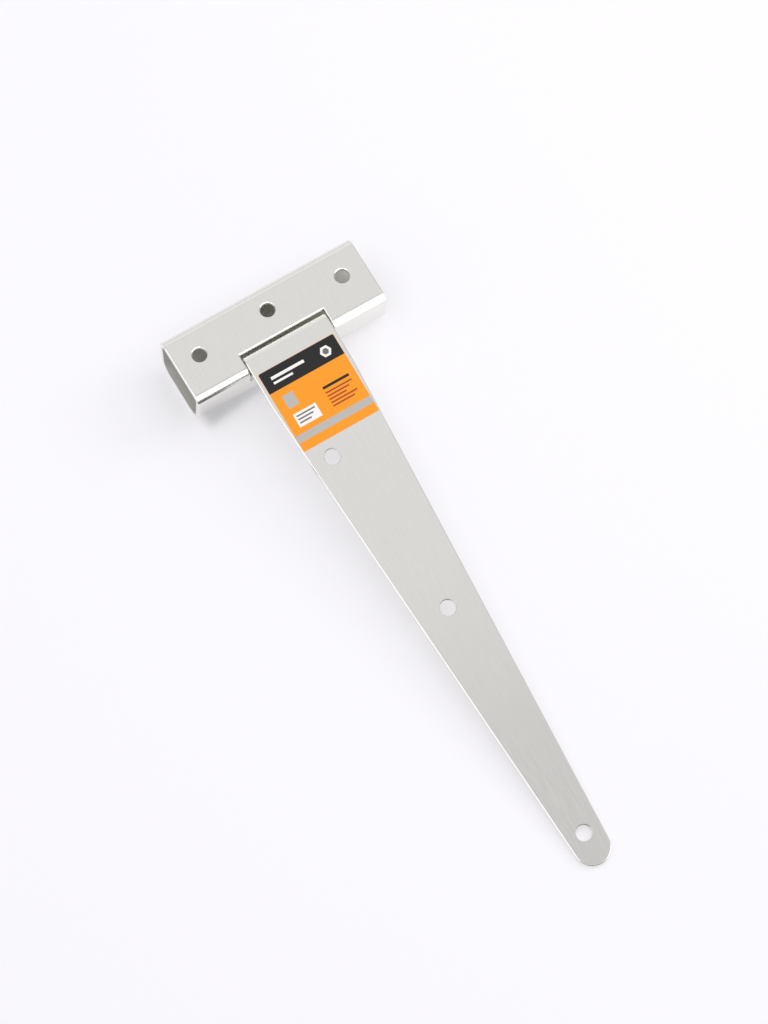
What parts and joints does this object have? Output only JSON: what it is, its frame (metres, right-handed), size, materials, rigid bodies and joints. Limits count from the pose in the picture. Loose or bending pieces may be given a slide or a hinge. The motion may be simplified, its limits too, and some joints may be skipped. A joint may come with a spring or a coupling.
{
  "type": "tee hinge",
  "caption": "Tee hinge: a hollow folded crosspiece with fixing holes and a long tapered strap, rolled round a hidden pin, for hanging a gate or shed door.",
  "frame": {"origin": "on the mounting face, in the middle of the crosspiece", "axes": "X along the crosspiece and the pin, +Y from the pin to the crosspiece's far edge, +Z out of the mounting face"},
  "size_m": [0.11, 0.3372, 0.035],
  "materials": {
    "bright_steel": "bright, fine brushed grain",
    "pin_steel": "plain drawn rod",
    "printed_film": "printed, slightly glossy"
  },
  "bodies": {
    "butt_leaf": {"crosspiece": "bright_steel", "hinge_pin": "pin_steel"},
    "strap_leaf": {"strap": "bright_steel", "label": "printed_film"}
  },
  "joints": [
    {"name": "strap_swing", "type": "hinge", "parent": "butt_leaf", "child": "strap_leaf", "pos_m": [0, -0.01395, 0.02945], "axis": [-1, 0, 0], "range_deg": [-64, 97]}
  ]
}
